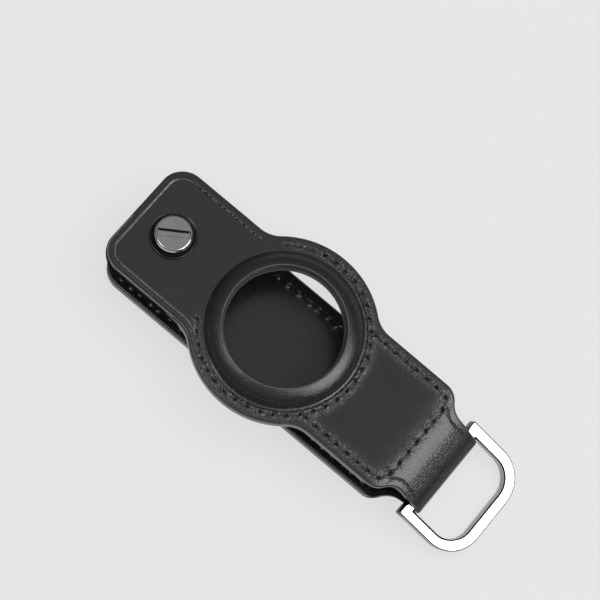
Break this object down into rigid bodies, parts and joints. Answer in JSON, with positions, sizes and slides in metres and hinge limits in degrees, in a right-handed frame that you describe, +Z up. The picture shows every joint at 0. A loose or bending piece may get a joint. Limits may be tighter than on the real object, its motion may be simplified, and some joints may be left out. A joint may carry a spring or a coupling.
{
  "type": "tracker tag holder",
  "caption": "Leather strap holder for a coin-shaped tracker tag: moulded window ring, slotted screw post and D-ring.",
  "frame": {"origin": "on the surface that the back leaf lies on, under the middle of the bounding box", "axes": "+X along the strap from the screw post to the D-ring, +Y across the strap, +Z up out of the front leaf"},
  "size_m": [0.1016, 0.0414, 0.0166],
  "materials": {
    "outer_leather": "fine-grained, semi-matt",
    "inner_leather": "fine-grained, matt",
    "thread": "waxed",
    "padding": "matt",
    "polished_nickel": "polished",
    "dark_nickel": "polished",
    "washer": "matt"
  },
  "bodies": {
    "base": {"back_leather": "outer_leather", "back_lining": "inner_leather", "back_stitching": "thread", "loop_leather": "outer_leather", "post": "dark_nickel"},
    "front_leaf": {"front_leather": "outer_leather", "ring_core": "padding", "front_lining": "inner_leather", "front_stitching": "thread"},
    "d_ring": {"d_ring": "polished_nickel"},
    "washer": {"screw_washer": "washer"},
    "screw": {"screw": "dark_nickel"}
  },
  "joints": [
    {"name": "leaf_open", "type": "hinge", "parent": "base", "child": "front_leaf", "pos_m": [0.035, 0, 0.0063], "axis": [0, 1, 0], "range_deg": [0, 45], "deforming": ["loop_leather"]},
    {"name": "ring_swing", "type": "hinge", "parent": "base", "child": "d_ring", "pos_m": [0.035, 0, 0.0063], "axis": [0, -1, 0], "range_deg": [-95, 65]},
    {"name": "screw_lift", "type": "slide", "parent": "front_leaf", "child": "washer", "axis": [0, 0, 1], "range_m": [0, 0.0036]},
    {"name": "screw_turn", "type": "hinge", "parent": "washer", "child": "screw", "pos_m": [-0.0409, 0, 0.014], "axis": [0, 0, 1], "range_deg": [0, 2160]}
  ],
  "couplings": [
    {"joint": "screw_turn", "follows": "screw_lift", "rad_per_m": 10472}
  ]
}
